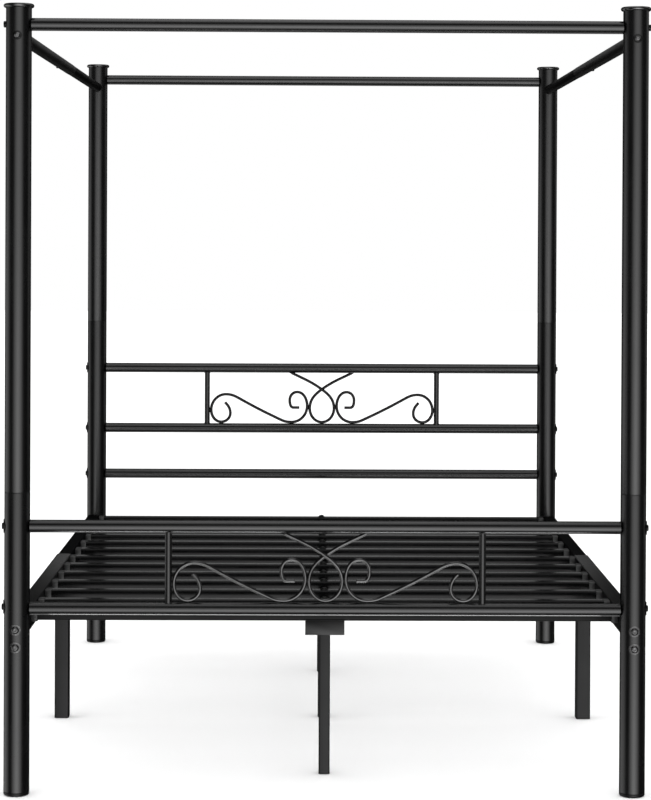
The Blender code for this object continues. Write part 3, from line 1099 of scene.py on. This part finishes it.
def build_small_screws():
    """The screws at the joints of the canopy and of the side rails, and those into the side legs."""
    for side, x_sign in SIDES:
        under = CANOPY_SIDE_Z - RAIL_RADIUS + 0.0004
        spot = (x_sign * POST_X, CANOPY_SCREW_Y, under)
        build_small_screw(f"canopy_screw_{side}", CANOPY_SCREW, DARK_STEEL, DOWN, spot)
        low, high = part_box(f"side_rail_head_{side}")
        inner = high.x if x_sign < 0 else low.x
        spot = (inner, JOINT_SCREW_Y, high.z - 0.014)
        build_small_screw(f"side_rail_screw_{side}", JOINT_SCREW, STEEL, (-x_sign, 0, 0), spot)
        flange_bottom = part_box(f"side_leg_{side}")[1].z - FLANGE_DEPTH
        for number, y in enumerate(LEG_SCREWS_Y, start=1):
            spot = (x_sign * LEG_SCREW_X, y, flange_bottom)
            build_small_screw(f"leg_screw_{side}_{number}", LEG_SCREW, STEEL, DOWN, spot)


# ---------------------------------------------------------------- stage, light and camera


def build_stage():
    """A plain pale floor. It takes soft shadows, and the black finish doesn't mirror it."""
    reach = 30
    corners = [(-reach, -reach, 0), (reach, -reach, 0), (reach, reach, 0), (-reach, reach, 0)]
    mesh = bpy.data.meshes.new("studio_floor")
    mesh.from_pydata(corners, [], [(0, 1, 2, 3)])
    floor = bpy.data.objects.new("studio_floor", mesh)
    bpy.context.scene.collection.objects.link(floor)
    floor.location.z = -0.0005
    finish = Finish("studio_floor_pale")
    cloud = finish.noise(0.8)
    finish.colour(finish.spread(cloud, 0, 1), (0.93, 0.93, 0.93), (0.95, 0.95, 0.95))
    finish.shader.inputs["Roughness"].default_value = 1.0
    finish.shader.inputs["Specular IOR Level"].default_value = 0.0
    mesh.materials.append(finish.material)
    floor.visible_glossy = False


# What the black finish mirrors, as soft patches round the bed. Each has its turn from the foot end
# towards +X and its height, the angles from its middle where it stops being full and where it ends,
# and its radiance.
PATCHES = (
    (9, -22, 10, 50, 3.0),  # the front wall and the floor before it
    (9, -28, 0, 26, 2.8),
    (0, 5, 50, 125, 0.10),  # the rest of the room, but not its rear
    (0, 74, 8, 27, 1.5),  # the ceiling's softbox
    (-104, -24, 6, 42, 1.5),  # the floor to the left
    (180, -54, 8, 36, 1.1),  # the floor under the bed and behind it
    (180, 66, 6, 20, 1.3),  # a softbox high behind the head end
    (180, 9, 2, 12, 0.40),  # a low glow on the rear wall
    (118, 10, 4, 26, 0.5),  # the right wall
    (100, 44, 6, 26, 1.0),  # another high on the right
)
DARK_ROOM = 0.015
SKY_FOR_SHADOWS = 1.45
WHITE = (1, 1, 1, 1)


def direction(turn, height):
    turn, height = math.radians(turn), math.radians(height)
    return Vector(
        (math.sin(turn) * math.cos(height), -math.cos(turn) * math.cos(height), math.sin(height))
    )


def mirrored_room(tree):
    """The room's radiance in each direction: a dark room with every patch on top."""
    here = tree.nodes.new("ShaderNodeTexCoord").outputs["Generated"]
    total = None
    for turn, height, full, none, radiance in PATCHES:
        dot = tree.nodes.new("ShaderNodeVectorMath")
        dot.operation = "DOT_PRODUCT"
        tree.links.new(here, dot.inputs[0])
        dot.inputs[1].default_value = direction(turn, height)
        fade = tree.nodes.new("ShaderNodeMapRange")
        fade.interpolation_type = "SMOOTHSTEP"
        fade.inputs["From Min"].default_value = math.cos(math.radians(none))
        fade.inputs["From Max"].default_value = math.cos(math.radians(full))
        fade.inputs["To Max"].default_value = radiance
        tree.links.new(dot.outputs["Value"], fade.inputs["Value"])
        add = tree.nodes.new("ShaderNodeMath")
        tree.links.new(fade.outputs["Result"], add.inputs[0])
        add.inputs[1].default_value = DARK_ROOM
        if total:
            tree.links.new(total, add.inputs[1])
        total = add.outputs[0]
    return total


def build_surround():
    """White to look at and even light for the floor, with soft patches for the finish to mirror."""
    world = bpy.data.worlds.new("studio_surround")
    bpy.context.scene.world = world
    world.use_nodes = True
    tree = world.node_tree
    tree.nodes.clear()
    room = tree.nodes.new("ShaderNodeBackground")
    tree.links.new(mirrored_room(tree), room.inputs["Strength"])
    even = tree.nodes.new("ShaderNodeBackground")
    even.inputs["Color"].default_value = WHITE
    even.inputs["Strength"].default_value = SKY_FOR_SHADOWS
    white = tree.nodes.new("ShaderNodeBackground")
    white.inputs["Color"].default_value = WHITE
    path = tree.nodes.new("ShaderNodeLightPath").outputs
    lit = tree.nodes.new("ShaderNodeMixShader")
    tree.links.new(path["Is Diffuse Ray"], lit.inputs["Fac"])
    tree.links.new(room.outputs[0], lit.inputs[1])
    tree.links.new(even.outputs[0], lit.inputs[2])
    seen = tree.nodes.new("ShaderNodeMixShader")
    tree.links.new(path["Is Camera Ray"], seen.inputs["Fac"])
    tree.links.new(lit.outputs[0], seen.inputs[1])
    tree.links.new(white.outputs[0], seen.inputs[2])
    output = tree.nodes.new("ShaderNodeOutputWorld")
    tree.links.new(seen.outputs[0], output.inputs["Surface"])


def softbox(name, centre, size, aim, radiance, spread=180):
    """A rectangular soft light whose face has this radiance. spread is its beam, in degrees."""
    light = bpy.data.lights.new(name, "AREA")
    light.shape = "RECTANGLE"
    light.size, light.size_y = size
    light.energy = radiance * math.pi * size[0] * size[1]
    light.spread = math.radians(spread)
    box = bpy.data.objects.new(name, light)
    bpy.context.scene.collection.objects.link(box)
    box.location = centre
    box.rotation_euler = Vector(aim).to_track_quat("-Z", "Y").to_euler()
    box.visible_camera = False


def build_lights():
    """A soft ceiling light, and a thin strip that edges the underside of the footboard's low rail."""
    softbox("ceiling_softbox", (0.0, -0.6, 4.2), (3.0, 2.4), (0, 0, -1), 0.9)
    softbox("strip_under_footboard", (0.0, -0.945, 0.368), (1.30, 0.045), (0, 0, 1), 3.2, 100)


# The lens is in millimetres, for a sensor 36 mm high, and the shift in shares of that height.
SENSOR = 36.0
LENS = 102.4407
LENS_SHIFT = (-0.01315, -0.19100)
CAMERA_PLACE = (-0.0380, -6.3032, 1.3237)
CAMERA_YAW, CAMERA_PITCH, CAMERA_ROLL = -0.6368, -0.4588, 0.2648


def build_camera():
    data = bpy.data.cameras.new("camera")
    camera = bpy.data.objects.new("camera", data)
    bpy.context.scene.collection.objects.link(camera)
    bpy.context.scene.camera = camera
    data.sensor_width = SENSOR
    data.lens = LENS
    data.shift_x, data.shift_y = LENS_SHIFT
    data.clip_end = 100
    level = Matrix.Rotation(math.radians(90 + CAMERA_PITCH), 4, "X")
    turned_by = Matrix.Rotation(math.radians(CAMERA_YAW), 4, "Z")
    rolled_by = Matrix.Rotation(math.radians(CAMERA_ROLL), 4, "Z")
    camera.matrix_world = Matrix.Translation(CAMERA_PLACE) @ turned_by @ level @ rolled_by
    bpy.context.scene.view_settings.view_transform = "Standard"


build_camera()
build_stage()
build_surround()
build_lights()
build_posts()
build_cross_rails()
build_canopy_sides()
build_panel("headboard", "headboard_mid_rail", "headboard_top_rail")
build_panel("footboard", "footboard_low_rail", "footboard_top_rail")
build_side_rails()
build_slats()
build_beam()
build_legs()
build_post_bolts()
build_small_screws()
